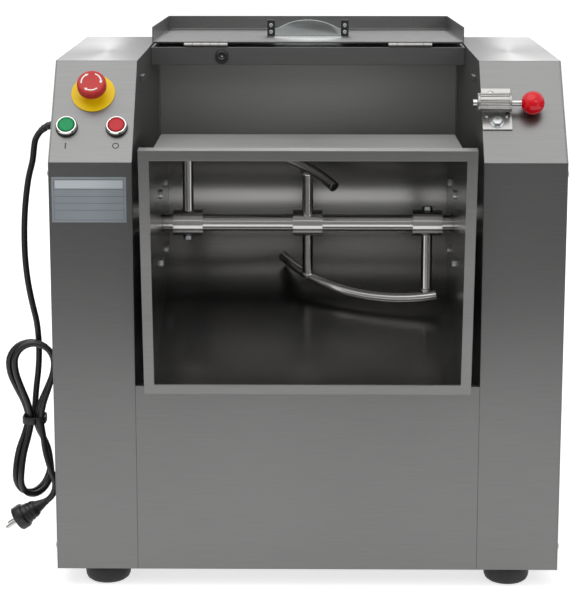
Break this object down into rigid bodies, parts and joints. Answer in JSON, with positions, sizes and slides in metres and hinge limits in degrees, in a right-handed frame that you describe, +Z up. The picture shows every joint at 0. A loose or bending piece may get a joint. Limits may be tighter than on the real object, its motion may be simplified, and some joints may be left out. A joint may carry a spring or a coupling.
{
  "type": "dough mixer",
  "caption": "Horizontal dough mixer with a tilting flared bowl, swept-bar agitator, flip-back lid, sloping control panels and a pull-back bowl lock.",
  "frame": {"origin": "middle of the base, on the floor under the feet, without the mains cord", "axes": "+Z up, +X to the right seen from the front, +Y to the back"},
  "size_m": [0.7916, 0.745, 0.7577],
  "materials": {
    "brushed_stainless": "brushed",
    "panel_stainless": "brushed",
    "rim_stainless": "brushed",
    "bright_stainless": "polished",
    "zinc_steel": "satin",
    "cast_housing": "painted",
    "drive_steel": "oiled",
    "bronze": "satin",
    "rubber_black": "satin",
    "black_plastic": "satin",
    "motor_paint": "painted",
    "box_grey": "satin",
    "clear_acrylic": "clear",
    "ball_red": "gloss",
    "stop_yellow": "satin",
    "stop_red": "satin",
    "start_green": "gloss",
    "stop_button_red": "gloss"
  },
  "bodies": {
    "root": {"base_plate": "panel_stainless", "feet": "rubber_black", "left_column": "brushed_stainless", "right_column": "brushed_stainless", "left_side_cover": "brushed_stainless", "right_side_cover": "brushed_stainless", "side_cover_screws": "zinc_steel", "front_panel": "panel_stainless", "back_panel": "panel_stainless", "deck": "panel_stainless", "top_beam": "brushed_stainless", "lid_rests": "brushed_stainless", "trunnion_housings": "cast_housing", "trunnion_bushes": "bronze", "housing_bolts": "zinc_steel", "drive_chain": "drive_steel", "countershaft_bearings": "cast_housing", "drive_belt": "rubber_black", "motor": "motor_paint", "electrical_box": "box_grey", "hinge_beam_leaves": "bright_stainless", "lid_sensor": "black_plastic", "lock_plate": "bright_stainless", "lock_plate_bolts": "bright_stainless", "stop_disc": "stop_yellow", "stop_housing": "stop_yellow", "button_bezels": "bright_stainless", "contact_blocks": "black_plastic", "cord_gland": "rubber_black", "mains_cord": "rubber_black", "cord_hank": "rubber_black", "mains_plug": "rubber_black", "hank_tie": "black_plastic"},
    "bowl": {"bowl_shell": "panel_stainless", "bowl_rim": "rim_stainless", "bowl_hubs": "bright_stainless", "hub_bearings": "zinc_steel", "hub_seals": "rubber_black", "hub_bolts": "zinc_steel"},
    "agitator": {"agitator_shaft": "bright_stainless", "shaft_journals": "bright_stainless", "shaft_collars": "bright_stainless", "agitator_blade_a": "bright_stainless", "agitator_blade_b": "bright_stainless", "collar_bolts": "bright_stainless", "agitator_sprocket": "drive_steel"},
    "countershaft": {"countershaft": "bright_stainless", "countershaft_sprocket": "drive_steel", "countershaft_pulley": "cast_housing"},
    "motor_rotor": {"motor_shaft": "bright_stainless", "motor_pulley": "cast_housing"},
    "lid": {"lid_pan": "brushed_stainless", "hinge_lid_leaves": "bright_stainless", "window_guard": "clear_acrylic", "guard_posts": "black_plastic"},
    "lock_bolt": {"lock_plunger": "bright_stainless", "lock_ball": "ball_red"},
    "emergency_stop": {"stop_mushroom": "stop_red"},
    "start_button": {"start_button": "start_green"},
    "stop_button": {"stop_button": "stop_button_red"}
  },
  "joints": [
    {"name": "bowl_tilt", "type": "hinge", "parent": "root", "child": "bowl", "pos_m": [0, -0.13912, 0.49], "axis": [-1, 0, 0], "range_deg": [0, 90]},
    {"name": "agitator_spin", "type": "hinge", "parent": "root", "child": "agitator", "pos_m": [0, -0.13912, 0.49], "axis": [1, 0, 0], "continuous": true},
    {"name": "countershaft_spin", "type": "hinge", "parent": "root", "child": "countershaft", "pos_m": [0, 0.0188, 0.33208], "axis": [1, 0, 0], "continuous": true},
    {"name": "motor_spin", "type": "hinge", "parent": "root", "child": "motor_rotor", "pos_m": [0, -0.0512, 0.10299], "axis": [1, 0, 0], "continuous": true},
    {"name": "lid_hinge", "type": "hinge", "parent": "root", "child": "lid", "pos_m": [0, 0.02788, 0.73095], "axis": [1, 0, 0], "range_deg": [0, 181.5]},
    {"name": "lock_slide", "type": "slide", "parent": "root", "child": "lock_bolt", "axis": [-1, 0, 0], "range_m": [0, 0.012]},
    {"name": "emergency_stop_push", "type": "slide", "parent": "root", "child": "emergency_stop", "axis": [0, 0.7707, -0.6372], "range_m": [0, 0.005]},
    {"name": "start_push", "type": "slide", "parent": "root", "child": "start_button", "axis": [0, 0.7707, -0.6372], "range_m": [0, 0.003], "stiffness_N_per_m": 400},
    {"name": "stop_push", "type": "slide", "parent": "root", "child": "stop_button", "axis": [0, 0.7707, -0.6372], "range_m": [0, 0.003], "stiffness_N_per_m": 400}
  ],
  "couplings": [
    {"joint": "countershaft_spin", "follows": "agitator_spin", "ratio": 3},
    {"joint": "motor_spin", "follows": "agitator_spin", "ratio": 7.5}
  ]
}
